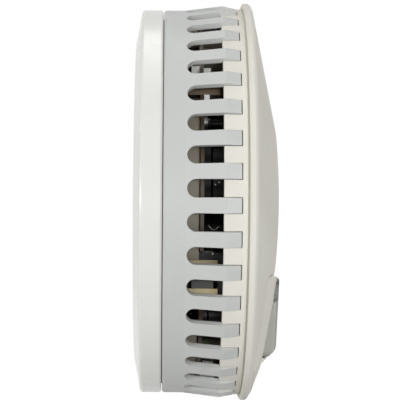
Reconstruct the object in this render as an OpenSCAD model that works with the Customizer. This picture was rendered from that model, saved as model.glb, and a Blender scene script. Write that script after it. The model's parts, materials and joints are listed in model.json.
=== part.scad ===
// Round carbon monoxide alarm for a wall or an electrical box.
// Every piece is drawn face up, with Z as its distance from the wall, and hung() stands it on the wall.

/* [Body] */
// Diameter of the housing's straight wall
body_d = 136.8; // [134:0.2:150]
// Thickness of the walls of housing and plate
wall_t = 2; // [1.6:0.1:2.4]
// Thickness of the floors of housing and plate
floor_t = 2.2; // [1.8:0.1:3]
// Gap at the seam between mounting plate and housing
seam_gap = 0.3; // [0.2:0.05:0.6]
// Gap between pieces that lie beside each other
part_gap = 0.3; // [0.2:0.05:0.4]

/* [Mounting plate] */
// Depth of the mounting plate from the wall to the seam
plate_h = 9.4; // [9:0.1:13]
// Diameter of the flat that lies on the wall
plate_flat_d = 114; // [108:1:120]
// Depth of the chamfer round the back
plate_chamfer = 1.9; // [1:0.1:2.5]
// Diameter of the opening for the house wiring
wire_d = 52; // [40:1:58]
// Distance between the middles of opposite screw slots
screw_spacing = 83.3; // [80:0.1:86]
// Length of a screw slot from end to end
screw_slot_l = 14; // [8:0.5:16]
// Width of a screw slot
screw_slot_w = 4.6; // [4:0.1:5]
// Turn that frees the alarm from its plate, in degrees
twist = 12; // [8:1:14]
// Middle radius of the hooks that hold the alarm
hook_r = 45.25; // [44:0.25:47]
// Width of the pry notch at the seam
notch_w = 6; // [4:0.5:10]

/* [Air slots] */
// Number of places in the ring of slots
slot_places = 40; // [36:4:44]
// Width of a slot
slot_w = 5.9; // [5:0.1:6.2]
// Depth of the plain band between the seam and the slots
band_h = 7.9; // [6:0.1:10]
// Length of a slot that stays open, up to the cover's skirt
slot_open = 11.7; // [10.8:0.1:14]
// Length of the teeth that lap over the skirt
tooth_lap = 5.6; // [4:0.1:6.5]
// How far the ring of slots flares out
flare = 1.7; // [1.2:0.1:2]

/* [Front cover] */
// Wall thickness of the cover
cover_t = 2.2; // [1.8:0.1:2.6]
// Depth of the skirt from its edge to the flange
skirt_h = 8.2; // [7.6:0.1:10]
// Reach of the flange beyond the skirt
flange_w = 2; // [1.2:0.1:3]
// Depth of the flange
flange_h = 3; // [2.6:0.1:4]
// Slope of the front in degrees
cone_angle = 12.2; // [10:0.2:13]
// Radius of the shallow cap in the middle of the front
cap_r = 28; // [20:0.5:34]
// Rise of the cap above its edge
cap_rise = 1.6; // [1:0.1:2.4]

/* [Test button] */
// Width of the block that the button fills
block_w = 48.8; // [46:0.2:50]
// Width of the raised panel round the button, at the foot of its sloping sides
panel_w = 71; // [68:0.5:72]
// Distance from the middle of the alarm to the top of the block
block_top = 27.2; // [26:0.1:28.5]
// Height of the block
block_h = 30.4; // [28:0.1:31]
// Height of the panel above the sloping front
panel_h = 1.8; // [1.4:0.1:2]
// Slope of the panel's sides in degrees
panel_slope = 27; // [24:1:40]
// Width of the block's walls beside the button
rim_w = 2.4; // [2:0.1:3]
// Distance of the button's face above the edge of the cap
face_h = 1.1; // [0.6:0.1:1.6]
// Height of the status window along the top of the block
window_h = 7; // [5:0.1:8]
// Travel of the button
button_travel = 1.2; // [0.6:0.1:1.4]
// Lean of the button's face in degrees
lean = 2.9; // [0:0.1:4]
// Angle of the sloping flank under the face, in degrees
flank_angle = 46.4; // [40:0.2:52]

/* [Circuit board] */
// Height of the board above the housing's floor
board_lift = 9.7; // [9.4:0.1:10.6]
// Thickness of the board
board_t = 1.2; // [1:0.1:2]
// Gap between the board's edge and the housing's wall
board_gap = 2.4; // [2.2:0.1:3]
// Diameter of the horn
horn_d = 39; // [36:1:40]
// Height of the horn above the board
horn_h = 11.8; // [10:0.1:12.4]
// Diameter of the gas sensor
sensor_d = 15; // [12:0.5:16]
// Height of the gas sensor above the board
sensor_h = 10; // [8:0.5:12]

/* [Batteries] */
// Diameter of a cell
cell_d = 14.4; // [14:0.1:14.5]
// Length of a cell with its button
cell_l = 50.4; // [49.4:0.1:50.6]
// Wall thickness of the battery drawer
drawer_t = 1.1; // [1:0.1:1.3]

/* [Hidden] */
$fn = 96;
fine = 32;
eps = 0.01;
over = 1;

// Distances from the wall
z_seam = plate_h;
z_house = z_seam + seam_gap;
z_floor = z_house + floor_t;
z_slot = z_seam + band_h;
z_skirt = z_slot + slot_open;
z_tooth = z_skirt + tooth_lap;
z_flange = z_skirt + skirt_h;
z_cone = z_flange + flange_h;
z_board = z_floor + board_lift;
z_parts = z_board + board_t;

// Radii
body_r = body_d / 2;
flare_r = body_r + flare;
flare_lead = 1;
flare_start = 0.6;
tip_r = flare_r - 0.9;
skirt_r = tip_r - 0.2;
flange_r = skirt_r + flange_w;
cone_r = flange_r - 1.4;
flange_round = 0.4;
groove = 0.6;
ring_gap = 0.2;
ring_t = 1.8;
ring_r = tip_r - wall_t - ring_gap;
skirt_in = ring_r - ring_t;
board_r = body_r - wall_t - board_gap;
rim_edge = 0.6;

// Sloping front of the cover
cone_rise = tan(cone_angle);
z_cap = z_cone + (cone_r - cap_r) * cone_rise;
cap_ball = (cap_r * cap_r + cap_rise * cap_rise) / (2 * cap_rise);
z_front = z_cap + cap_rise;
cap_steps = 10;

// Bayonet
hook_angles = [45, 135, 225, 315];
hook_t = 2.5;
hook_lip = 2;
hook_half = 4;
hook_h = 2;
hook_lift = 0.2;
hook_room = 0.5;
collar_h = 3;
collar_t = 1.6;
rib_t = 1.2;
rib_l = 8;
rib_turn = 22.5;
notch_depth = 1.2;
notch_angle = 265;
register_h = 2.4;
register_gap = 1.2;

// Screws that join housing and cover, and screws that hold the board
screw_angles = [62, 118, 242, 298];
screw_at = body_r - 9.9;
screw_r = 1.5;
screw_bite = 0.2;
screw_hole_r = 1.8;
screw_l = 24;
screw_tip = 3;
head_r = 2.8;
head_h = 1.1;
head_room = 0.3;
boss_r = 3.6;
boss_top = z_parts + 1;
board_boss_r = 3;
board_screw_r = 1.2;
board_screw_l = 6;
board_head_r = 2.4;
board_head_h = 1.3;
board_screw_angles = [37, 90, 157, 270, 323];
board_screw_at = board_r - 6.1;
board_head_sink = 0.4;

// Rim under the board's edge, left out beside the drawer and under the parts that hang through the board
rim_sectors = [[28, 126], [156, 200.8], [226, 332]];
rim_out = 1.2;
rim_gap = 0.3;

// Low inner walls that close the view under the board where the rim is left out
screen_sectors = [[126, 156], [201, 226]];
screen_r = 50;
screen_t = 1.4;

// Inlet for the house wiring
power_w = 22;
power_d = 14;
power_t = 1.5;
power_deep = 8.5;
blade_t = 1.2;
blade_w = 5;
blade_pitch = 6;
blade_start = 4.8;

// Battery drawer, which slides out along +X
cell_r = cell_d / 2;
cell_y = cell_r + 0.4;
cell_room = 0.15;
drawer_w = 2 * (cell_y + cell_r + part_gap + drawer_t);
z_drawer = z_floor + part_gap;
z_cells = z_drawer + drawer_t + cell_r + cell_room;
z_bay_top = z_cells + cell_r + 2 * part_gap;
bay_w = drawer_w + 2 * part_gap;
bay_wall = 1.2;
front_in = sqrt(body_r * body_r - drawer_w * drawer_w / 4) - 2.4;
bridge_t = 0.4;
cell_end = front_in - bridge_t - 0.1;
cell_start = cell_end - cell_l;
contact_t = 0.4;
contact_bump = 1.8;
contact_room = 0.05;
contact_w = 10;
contact_h = 12;
bump_r = [4, 2.2];
bridge_w = 6;
bridge_l = 2 * cell_y + 8.8;
lip_t = 1.2;
lip_h = 2;
drawer_start = cell_start - lip_t - 0.1;
bay_start = cell_start - contact_bump - contact_t - bay_wall;
inlet_gap = 4.7;
power_x = bay_start - inlet_gap - power_w / 2;

// Ring of slots: the places in front of the battery drawer stay closed
slot_pitch = 360 / slot_places;
bay_reach = asin((bay_w / 2 + bay_wall) / body_r) + asin(slot_w / 2 / body_r);
closed_places = ceil(bay_reach / slot_pitch) - 1;
slot_angles = [for (i = [closed_places + 1 : slot_places - closed_places - 1]) i * slot_pitch];

// Raised panel, its window and the test button
block_round = 3;
panel_inset = 0.8;
panel_fade = cone_r - 9;
panel_low = 0.4;
lean_share = 0.8;
panel_lean = atan(lean_share * cone_rise);
foot_groove = 0.5;
z_face = z_cap + face_h;
arc_r = 4;
arc_start = block_top + 23.4;
window_round = 0.8;
z_window = z_cap - 2.6;
window_room = 0.1;
window_drop = 0.4;
ear_w = 2.2;
ear_h = 1;
block_side_x = block_w / 2 - rim_w;
button_x = block_side_x - part_gap;
button_top = block_top + window_h + part_gap;
button_bottom = block_top + block_h - rim_w - part_gap;
button_h = button_bottom - button_top;
button_y = -(button_top + button_bottom) / 2;
button_round = 2;
edge_round = 1.2;
button_t = 2;
z_ledge = z_cone + 0.5;
stop_t = 1.3;
stop_w = 0.7;
stop_gap = 0.2;
stop_inset = 3;
z_button = z_ledge - stop_gap - stop_t;
z_well = z_button - button_travel - 0.5;
well_t = 1.3;
well_floor_t = 1.6;
well_x = button_x + stop_w + part_gap;
stem_r = 2.3;
spring_wire = 0.6;
spring_r = 4.2;
spring_turns = 5;
spring_room = 0.05;
z_spring_top = z_face - 3.6;

// Switch under the button
switch_w = 12;
switch_h = 4.2;
plunger_r = 3.2;
plunger_foot = 1.6;
z_plunger = z_parts + 7.8;

// Lamps and light guide
lamp_y = -24.6;
lamp_x = [-7, 0, 7];
lamp_r = 1.5;
lamp_h = 5.6;
guide_r = 1.8;
guide_w = 18;
guide_t = 2.2;
guide_gap = 0.4;
z_guide = z_window - window_room;

// Middle of a part that is set by its angle and its distance inside the board's edge
function on_board(angle, inset) = (board_r - inset) * [cos(angle), sin(angle)];

// Horn and gas sensor
horn_r = horn_d / 2;
horn_at = on_board(171, horn_r + 5.7);
horn_lid = 1.6;
horn_port_r = 7;
horn_ledge = 4.8;
horn_ribs = 12;
disc_r = horn_r - 3.3;
disc_t = 0.4;
disc_room = 0.2;
gasket_h = 1.5;
gasket_w = 3;
z_horn = z_parts + horn_h;
sensor_r = sensor_d / 2;
sensor_at = on_board(226.5, sensor_r + 1.3);
sensor_cap_h = 3;

// Horn transformer: its bobbin lies along the board's edge and hangs through it
coil_at = on_board(209.1, 5.6);
z_coil = z_board + 0.9;
coil_w = 8;
coil_l = 12.2;
coil_h = 10;
coil_flange = 3;
coil_foot = 1.6;
barrel_w = 4.8;
wire_inset = 0.7;
core_w = 3;
core_t = 2.4;
core_room = 0.1;

// Choke in brown tape that hangs through the board's edge
choke_at = on_board(145.6, 4.6);
choke_w = 8.6;
choke_d = 3.8;
choke_h = 12.6;
choke_foot = 1.4;

// Small parts, each with its width, depth and height
main_chip = [10, 10, 1.6];
drive_chip = [4, 9, 1.5];
chip_y = 12;
chip_leg = 0.3;
header_at = on_board(139, 4);
header = [6.6, 5.2, 2.4];
header_drop = 2.8;
header_pin = 0.6;
clip_at = on_board(151, 1.6);
clip = [2.6, 2.2, 1.8];
film_at = on_board(-54, 23.2);
film = [14, 7, 9];

// Capacitors: angle, distance inside the board's edge, radius and height
cans = [[68.7, 25.4, 5, 12], [48.9, 22.9, 4, 10], [94.3, 23.9, 5, 12]];

// Resistors with leads that reach to both sides
resistor_x = -23;
resistor_y = [-28, -33, -38];
resistor_r = 1.2;
resistor_l = 6;
lead_r = 0.35;
lead_l = 1.5;

// ---------- shared shapes ----------

// Stands a piece on the wall: its Z becomes the way out into the room
module hung() rotate([90, 0, 0]) children();

function reversed(list) = [for (i = [len(list) - 1 : -1 : 0]) list[i]];

// Piece of a ring between two angles
module sector(r_in, r_out, from, to, h)
    rotate([0, 0, from]) rotate_extrude(angle = to - from) translate([r_in, 0]) square([r_out - r_in, h]);

// Rectangle with round corners, centred
module round_rect(w, h, r) {
    square([w - 2 * r, h], center = true);
    square([w, h - 2 * r], center = true);
    for (x = [-1, 1], y = [-1, 1]) translate([x * (w / 2 - r), y * (h / 2 - r)]) circle(r, $fn = fine);
}

// Puts a piece at an angle and a radius
module at_polar(angle, radius) rotate([0, 0, angle]) translate([radius, 0, 0]) children();

// Height of the sloping front at a radius
function cone_z(r) = z_cone + (cone_r - r) * cone_rise;

// The cap's arc from the middle to its edge, moved down by a wall
function cap_arc(drop) = [for (i = [0 : cap_steps]) let (r = cap_r * i / cap_steps)
    [r, z_front - drop - cap_ball + sqrt(cap_ball * cap_ball - r * r)]];

// All that lies under the front, its surface moved up or down
module under_front(raise)
    rotate_extrude() polygon(concat(cap_arc(-raise),
        [[flange_r, cone_z(flange_r) + raise], [flange_r, z_floor], [0, z_floor]]));

// ---------- mounting plate ----------

function plate_section() = let (flat_r = plate_flat_d / 2, slope = plate_chamfer / (body_r - flat_r)) [
    [wire_d / 2, 0], [flat_r, 0], [body_r - 1, plate_chamfer], [body_r - 0.3, plate_chamfer + 0.3],
    [body_r, plate_chamfer + 1], [body_r, z_seam - rim_edge], [body_r - rim_edge, z_seam],
    [body_r - wall_t, z_seam], [body_r - wall_t, floor_t + plate_chamfer + 0.6],
    [body_r - wall_t - 1, floor_t + plate_chamfer - slope], [flat_r, floor_t], [wire_d / 2, floor_t]];

module hook() {
    z_head = z_floor + hook_lift;
    sector(hook_r - hook_t / 2, hook_r + hook_t / 2, -hook_half, hook_half, z_head + hook_h);
    translate([0, 0, z_head])
        sector(hook_r - hook_t / 2 - hook_lip, hook_r + hook_t / 2 + hook_lip, -hook_half, hook_half, hook_h);
}

module screw_slot() {
    run = screw_slot_l - screw_slot_w;
    translate([0, 0, -over]) linear_extrude(floor_t + 2 * over) {
        square([run, screw_slot_w], center = true);
        for (s = [-1, 1]) translate([s * run / 2, 0]) circle(screw_slot_w / 2);
    }
}

module mounting_plate() {
    color("white") hung() difference() {
        union() {
            rotate_extrude() polygon(plate_section());
            for (a = hook_angles) rotate([0, 0, a]) hook();
            rotate_extrude() translate([wire_d / 2, 0]) square([collar_t, floor_t + collar_h]);
            for (a = hook_angles) rotate([0, 0, a - rib_turn])
                translate([wire_d / 2 + collar_t - eps, -rib_t / 2, floor_t - eps])
                cube([rib_l, rib_t, collar_h]);
        }
        for (a = [0, 90, 180, 270]) at_polar(a, screw_spacing / 2) screw_slot();
        at_polar(notch_angle, body_r - wall_t - over) translate([0, -notch_w / 2, z_seam - notch_depth])
            cube([wall_t + 2 * over, notch_w, notch_depth + over]);
    }
}

// ---------- rear housing ----------

// Line of the housing's wall from just below the slots to the tips of the teeth
function wall_line(inset) = [
    [body_r - inset, z_slot - flare_start],
    [flare_r - inset, z_skirt + flare_lead],
    [tip_r - inset, z_tooth]];

function housing_section() = concat(
    [[0, z_house], [body_r - rim_edge, z_house], [body_r, z_house + rim_edge]], wall_line(0),
    reversed(wall_line(wall_t)),
    [[body_r - wall_t, z_floor + 1], [body_r - wall_t - 1, z_floor], [0, z_floor]]);

// A slot: round at its start and open at the tips of the teeth
module air_slot() {
    start = body_r - wall_t - over / 2;
    through = flare_r - start + over;
    translate([start, 0, z_slot + slot_w / 2]) {
        rotate([0, 90, 0]) cylinder(r = slot_w / 2, h = through);
        translate([0, -slot_w / 2, 0]) cube([through, slot_w, z_tooth - z_slot]);
    }
}

// Curved openings in the floor that the hooks enter by and lock in
module bayonet_openings() {
    inner = hook_r - hook_t / 2 - hook_room;
    outer = hook_r + hook_t / 2 + hook_room;
    deep = floor_t + 2 * over;
    for (a = hook_angles) translate([0, 0, z_house - over]) {
        sector(inner, outer, a - twist, a + hook_half + hook_room, deep);
        sector(inner - hook_lip, outer + hook_lip,
               a - twist - hook_half - 1, a - twist + hook_half + 1, deep);
    }
}

// Space that the drawer slides in
module bay_space()
    translate([bay_start + bay_wall, -bay_w / 2, z_floor]) cube([flare_r, bay_w, z_bay_top - z_floor]);

module bay_walls() intersection() {
    translate([bay_start, -bay_w / 2 - bay_wall, z_floor - eps])
        cube([body_r, bay_w + 2 * bay_wall, z_bay_top - z_floor]);
    cylinder(r = body_r - wall_t + eps, h = z_front);
}

module rear_housing() {
    color("gainsboro") hung() difference() {
        union() {
            rotate_extrude() polygon(housing_section());
            bay_walls();
            for (a = screw_angles) at_polar(a, screw_at) translate([0, 0, z_floor - eps])
                cylinder(r = boss_r, h = boss_top - z_floor, $fn = fine);
            for (a = board_screw_angles) at_polar(a, board_screw_at) translate([0, 0, z_floor - eps])
                cylinder(r = board_boss_r, h = board_lift, $fn = fine);
            for (s = rim_sectors) translate([0, 0, z_floor - eps])
                sector(board_r - rim_out - wall_t / 2, board_r - rim_out, s[0], s[1], board_lift - rim_gap);
            for (s = screen_sectors) translate([0, 0, z_floor - eps])
                sector(screen_r, screen_r + screen_t, s[0], s[1], board_lift - rim_gap);
            translate([0, 0, z_house - register_h]) rotate_extrude()
                translate([body_r - 2 * wall_t - register_gap, 0]) square([wall_t, register_h + eps]);
            translate([power_x, 0, z_floor - eps]) linear_extrude(collar_h)
                round_rect(power_w + 2 * power_t + 1, power_d + 2 * power_t + 1, button_round);
        }
        for (a = slot_angles) rotate([0, 0, a]) air_slot();
        bayonet_openings();
        bay_space();
        for (a = screw_angles) at_polar(a, screw_at) translate([0, 0, z_house - over]) {
            cylinder(r = screw_hole_r, h = boss_top, $fn = fine);
            cylinder(r = head_r + head_room, h = over + head_h + head_room, $fn = fine);
        }
        for (a = board_screw_angles) at_polar(a, board_screw_at) translate([0, 0, z_parts - board_screw_l])
            cylinder(r = board_screw_r - screw_bite, h = board_screw_l, $fn = fine);
        translate([power_x, 0, z_house - over]) linear_extrude(collar_h + floor_t + 2 * over)
            round_rect(power_w + 2 * part_gap, power_d + 2 * part_gap, 1 + part_gap);
    }
}

// ---------- front cover ----------

// Line of the flange from the cone to the groove behind it
function flange_line() = [
    [cone_r, z_cone], [flange_r - 0.5, z_cone - 0.5], [flange_r, z_cone - 1.2],
    [flange_r, z_flange + flange_round],
    [flange_r - flange_round, z_flange], [skirt_r - groove, z_flange], [skirt_r - groove, z_flange - groove],
    [skirt_r, z_flange - groove]];

function cover_section() = concat(
    cap_arc(0), flange_line(),
    [[skirt_r, z_tooth + part_gap], [ring_r, z_tooth + part_gap], [ring_r, z_skirt], [skirt_in, z_skirt],
     [skirt_in, cone_z(skirt_in) - cover_t]],
    reversed(cap_arc(cover_t)));

// Blocks of the skirt that fill the slots' front ends, between the teeth
module skirt_blocks() {
    block = slot_w - 2 * ring_gap;
    intersection() {
        rotate_extrude() polygon([[ring_r - ring_t / 2, z_skirt], [skirt_r, z_skirt],
                                  [skirt_r, z_tooth + part_gap], [ring_r - ring_t / 2, z_tooth + part_gap]]);
        union() for (a = slot_angles) rotate([0, 0, a])
            translate([skirt_in, -block / 2, z_skirt]) cube([flange_r, block, tooth_lap + 2 * part_gap]);
    }
}

// Outline of the block, seen from the front
module block_outline()
    translate([0, -block_top - block_h / 2]) round_rect(block_w, block_h, block_round);

// Outline of the raised panel, which runs down into the flange, made larger for the groove round it
module panel_outline(room)
    translate([0, -block_top - flange_r / 2])
        round_rect(panel_w + 2 * room, flange_r + 2 * room, block_round + room);

// All that lies under the panel's surface, which comes down to the flange at its lower end
module under_panel() {
    edge = cone_r - panel_inset;
    rotate_extrude() polygon([[0, cone_z(0) + panel_h], [panel_fade, cone_z(panel_fade) + panel_h],
                              [edge, cone_z(edge) + panel_low], [edge, z_floor], [0, z_floor]]);
}

// All that lies between the panel's sloping sides, which lean as the front does beside the block
module panel_sides() {
    foot = panel_w / 2;
    z_foot = cone_z(norm([foot, block_top])) + panel_low;
    tall = z_front - z_flange;
    run = tall / tan(panel_slope);
    translate([0, 0, z_foot + block_top * tan(panel_lean)]) rotate([90 + panel_lean, 0, 0])
        linear_extrude(2 * flange_r)
        polygon([[-foot, -tall], [-foot, 0], [run - foot, tall],
                 [foot - run, tall], [foot, 0], [foot, -tall]]);
}

// Skin of the panel above the sloping front
module raised_panel() difference() {
    intersection() {
        translate([0, 0, z_flange]) linear_extrude(z_front - z_flange) panel_outline(0);
        under_panel();
        panel_face();
        panel_sides();
    }
    under_front(-cover_t / 2);
}

// All that lies under the leaning plane of the button's face
module panel_face() rotate([90, 0, 90]) translate([0, 0, -panel_w]) linear_extrude(2 * panel_w) polygon([
    [-block_top, z_floor], [-block_top, face_z(block_top)],
    [-flange_r, face_z(flange_r)], [-flange_r, z_floor]]);

// Groove along the panel's foot
module panel_groove() difference() {
    intersection() {
        translate([0, 0, z_flange]) linear_extrude(z_front) difference() {
            panel_outline(foot_groove);
            panel_outline(0);
        }
        cylinder(r = cone_r - panel_inset, h = z_front + over);
    }
    under_front(-foot_groove);
}

// Height of the block's face at a distance below the middle of the alarm
function face_z(y) = z_face - (y - block_top) * tan(lean);

// Side view of the block: leaning face, arc, and sloping flank; moved inwards by a wall
function block_line(inset) = let (
    middle = [-arc_start + arc_r * sin(lean), face_z(arc_start) - arc_r * cos(lean)],
    r = arc_r - inset,
    steps = 6,
    arc = [for (i = [0 : steps]) let (a = lean + (flank_angle - lean) * i / steps)
           middle + r * [-sin(a), cos(a)]],
    run = block_h,
    low = arc[steps] - run * [cos(flank_angle), sin(flank_angle)],
    top = -block_top - inset,
    corner = [for (a = [0 : 30 : 90]) let (c = [top - window_round, face_z(block_top) - inset - window_round])
              c + window_round * [cos(a), sin(a)]])
    concat([[top, z_floor]], corner, arc, [low, [low[0], z_floor]]);

module block_side(inset)
    rotate([90, 0, 90]) translate([0, 0, -block_w]) linear_extrude(2 * block_w) polygon(block_line(inset));

// End of the block below the button, which carries the button's flank down to the panel
module block_tail() intersection() {
    translate([-button_x, -block_top - block_h, z_ledge]) cube([2 * button_x, rim_w, z_front]);
    block_side(0);
    button_crown();
}

// Walls and floor that guide the button, open towards the middle of the alarm
module button_well() intersection() {
    under_front(-cover_t / 2);
    translate([-well_x - well_t, -button_bottom - part_gap - well_t, z_well - well_floor_t])
        cube([2 * (well_x + well_t), button_bottom - button_top + 2 * part_gap + well_t, z_front]);
}

module well_space() {
    span = button_h + 2 * part_gap;
    // wide part for the button's stops, up to the ledge
    translate([-well_x, button_y - span / 2, z_well]) cube([2 * well_x, span, z_ledge - z_well]);
    // opening in the front
    translate([0, button_y, z_well]) linear_extrude(z_front) round_rect(2 * block_side_x, span, button_round);
}

// Strip along the top of the block that the window fills, with an ear beside each corner of the button
module window_strip(room)
    translate([0, 0, z_window - room]) linear_extrude(z_front) intersection() {
        block_outline();
        union() {
            translate([0, -block_top - window_h / 2]) square([block_w, window_h + 2 * room], center = true);
            for (s = [-1, 1]) translate([s * (block_w - ear_w) / 2, -block_top - window_h])
                square([ear_w + 2 * room, 2 * (ear_h + room)], center = true);
        }
    }

module front_cover() {
    color("ivory") hung() difference() {
        union() {
            rotate_extrude() polygon(cover_section());
            skirt_blocks();
            raised_panel();
            intersection() {
                translate([0, 0, z_ledge]) linear_extrude(z_front) block_outline();
                under_panel();
                panel_face();
            }
            button_well();
            block_tail();
            intersection() {
                under_front(-cover_t / 2);
                union() {
                    // posts for the screws from the back
                    for (a = screw_angles) at_polar(a, screw_at) translate([0, 0, boss_top])
                        cylinder(r = boss_r, h = z_front, $fn = fine);
                    // ring that the horn's gasket seats on
                    translate([horn_at[0], horn_at[1], z_horn + gasket_h]) rotate_extrude()
                        translate([horn_r - gasket_w - 1, 0]) square([gasket_w, z_front]);
                    // ribs that keep the cells in the drawer
                    for (s = [-1, 1])
                        translate([cell_start + cell_r, s * cell_y - rib_t / 2, z_bay_top + part_gap])
                        cube([cell_l - 2 * cell_r, rib_t, z_front]);
                }
            }
        }
        well_space();
        panel_groove();
        window_strip(window_room);
        guide_bar(part_gap);
        translate([0, button_y, z_well - well_floor_t - over])
            cylinder(r = stem_r + part_gap, h = well_floor_t + 2 * over, $fn = fine);
        for (a = screw_angles) at_polar(a, screw_at) translate([0, 0, boss_top - over])
            cylinder(r = screw_r - screw_bite, h = z_house + screw_l - boss_top + screw_tip, $fn = fine);
        translate([0, 0, part_gap]) bay_space();
    }
}

// ---------- status window, light guide and test button ----------

module status_window() {
    color("dimgray") hung() intersection() {
        window_strip(0);
        block_side(window_drop);
    }
}

// Bar of the light guide under the window, made larger for its pocket in the cover
module guide_bar(room) {
    back = lamp_y + guide_r;
    front = -block_top - window_h + part_gap;
    translate([-guide_w / 2 - room, front - room, z_guide - guide_t - room])
        cube([guide_w + 2 * room, back - front + 2 * room, guide_t + room]);
}

module light_guide() {
    low = z_parts + lamp_h + guide_gap;
    color("whitesmoke") hung() {
        for (x = lamp_x) translate([x, lamp_y, low])
            cylinder(r = guide_r, h = z_guide - low - eps, $fn = fine);
        translate([0, 0, -window_room]) guide_bar(0);
    }
}

// Rounds the long edges of the button's face
module button_crown() {
    tall = z_front;
    translate([0, -block_top, z_face]) rotate([90 + lean, 0, 0]) linear_extrude(2 * block_h)
        translate([0, -tall / 2]) round_rect(2 * button_x, tall, edge_round);
}

module test_button() {
    color("silver") hung() {
        difference() {
            union() {
                intersection() {
                    translate([0, button_y, z_button]) linear_extrude(z_front)
                        round_rect(2 * button_x, button_h, button_round - part_gap);
                    block_side(0);
                    button_crown();
                }
                translate([-button_x - stop_w, button_y - button_h / 2 + stop_inset, z_button])
                    cube([2 * (button_x + stop_w), button_h - 2 * stop_inset, stop_t]);
            }
            intersection() {
                translate([0, button_y, z_button - over]) linear_extrude(z_spring_top - z_button + over)
                    round_rect(2 * (button_x - button_t), button_h - 2 * button_t, 1);
                block_side(button_t);
            }
        }
        translate([0, button_y, z_plunger])
            cylinder(r = stem_r, h = z_spring_top - z_plunger + eps, $fn = fine);
    }
}

// Coil spring round the button's stem, swept along a helix that is close wound at its ends
module button_spring() {
    sides = 6;
    per_turn = 20;
    low = z_well + spring_wire / 2 + spring_room;
    high = z_spring_top - spring_wire / 2 - spring_room;
    count = spring_turns * per_turn;
    function rise(t) = let (u = max(0, min(1, (t * spring_turns - 0.75) / (spring_turns - 1.5))))
        low + (high - low) * u;
    points = [for (i = [0 : count], j = [0 : sides - 1]) let (a = 360 * i / per_turn, b = 360 * j / sides)
        [(spring_r + spring_wire / 2 * cos(b)) * cos(a), (spring_r + spring_wire / 2 * cos(b)) * sin(a),
         rise(i / count) + spring_wire / 2 * sin(b)]];
    skin = [for (i = [0 : count - 1], j = [0 : sides - 1]) let (k = (j + 1) % sides)
        [i * sides + j, i * sides + k, (i + 1) * sides + k, (i + 1) * sides + j]];
    ends = [[for (j = [sides - 1 : -1 : 0]) j], [for (j = [0 : sides - 1]) count * sides + j]];
    color("silver") hung() translate([0, button_y, 0]) polyhedron(points, concat(skin, ends), convexity = 10);
}

// ---------- circuit board ----------

// Opening through the board for a part that hangs through its edge
module edge_opening(at, w, d) translate([at[0] - w / 2 - board_r, at[1] - d / 2 - part_gap, z_board - over])
    cube([w + board_r + part_gap, d + 2 * part_gap, board_t + 2 * over]);

module circuit_board() {
    color("peru") hung() difference() {
        translate([0, 0, z_board]) cylinder(r = board_r, h = board_t);
        translate([bay_start - 2 * part_gap, -bay_w / 2 - bay_wall - part_gap, z_board - over])
            cube([board_r * 2, bay_w + 2 * (bay_wall + part_gap), board_t + 2 * over]);
        for (a = screw_angles) at_polar(a, screw_at) translate([0, 0, z_board - over])
            cylinder(r = boss_r + part_gap, h = board_t + 2 * over, $fn = fine);
        for (a = board_screw_angles) at_polar(a, board_screw_at) translate([0, 0, z_board - over])
            cylinder(r = board_screw_r + part_gap, h = board_t + 2 * over, $fn = fine);
        edge_opening(coil_at, coil_w, coil_l + 2 * core_t);
        edge_opening(choke_at, choke_w, choke_d);
        translate([0, 0, z_board - over]) linear_extrude(board_t + 2 * over)
            header_pins(header_pin + part_gap);
    }
}

function horn_section() = [
    [horn_port_r, horn_h], [horn_r, horn_h], [horn_r, horn_h - 2], [horn_r - 1.5, horn_h - 2.6],
    [horn_r - 1.5, 3], [horn_r, 2.4], [horn_r, 0], [0, 0], [0, horn_lid], [disc_r - 1, horn_lid],
    [disc_r - 1, horn_ledge], [disc_r + disc_room, horn_ledge], [disc_r + disc_room, horn_h - horn_lid],
    [horn_port_r, horn_h - horn_lid]];

module horn_body() {
    color("black") hung() translate([horn_at[0], horn_at[1], z_parts]) {
        rotate_extrude() polygon(horn_section());
        for (i = [0 : horn_ribs - 1]) at_polar(i * 360 / horn_ribs, horn_r - 1.5 - eps)
            translate([0, -rib_t / 2, 2]) cube([1.2, rib_t, horn_h - 3]);
    }
}

module piezo_disc() {
    color("gold") hung() translate([horn_at[0], horn_at[1], z_parts + horn_ledge]) {
        cylinder(r = disc_r, h = disc_t);
        translate([0, 0, disc_t - eps]) cylinder(r = disc_r * 0.7, h = disc_t / 2);
    }
}

module horn_gasket() {
    color("dimgray") hung() translate([horn_at[0], horn_at[1], z_horn])
        rotate_extrude() translate([horn_r - gasket_w - 1, 0]) square([gasket_w, gasket_h]);
}

module sensor_body() {
    color("black") hung() translate([sensor_at[0], sensor_at[1], z_parts]) rotate_extrude() polygon([
        [0, 0], [sensor_r, 0], [sensor_r, 1.6], [sensor_r - 0.8, 2.2], [sensor_r - 0.8, sensor_h - 0.8],
        [sensor_r - 1.6, sensor_h], [0, sensor_h]]);
}

module sensor_cap() {
    cap = sensor_r - 1.8;
    color("silver") hung() translate([sensor_at[0], sensor_at[1], z_parts + sensor_h]) difference() {
        rotate_extrude() polygon([[0, 0], [cap, 0], [cap, sensor_cap_h - 0.6], [cap - 0.6, sensor_cap_h],
                                  [0, sensor_cap_h]]);
        for (a = [0 : 60 : 300]) at_polar(a, cap / 2) translate([0, 0, 1])
            cylinder(r = 0.7, h = sensor_cap_h, $fn = fine);
    }
}

// Block on a part's middle, given by its width, depth and height
module block(w, d, h) cube([w, d, h], center = true);

module transformer_bobbin() {
    color("wheat") hung() translate([coil_at[0], coil_at[1], z_coil]) difference() {
        union() {
            for (s = [-1, 1]) translate([0, s * (coil_l - coil_flange) / 2, 0]) {
                block(coil_w, coil_flange, coil_h);
                // foot on the board
                translate([coil_w / 2 - eps, -coil_flange / 2, z_parts - z_coil])
                    cube([coil_foot, coil_flange, coil_foot]);
            }
            block(barrel_w, coil_l, barrel_w);
        }
        block(core_w + 2 * core_room, coil_l + 2 * over, core_t + 2 * core_room);
    }
}

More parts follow.
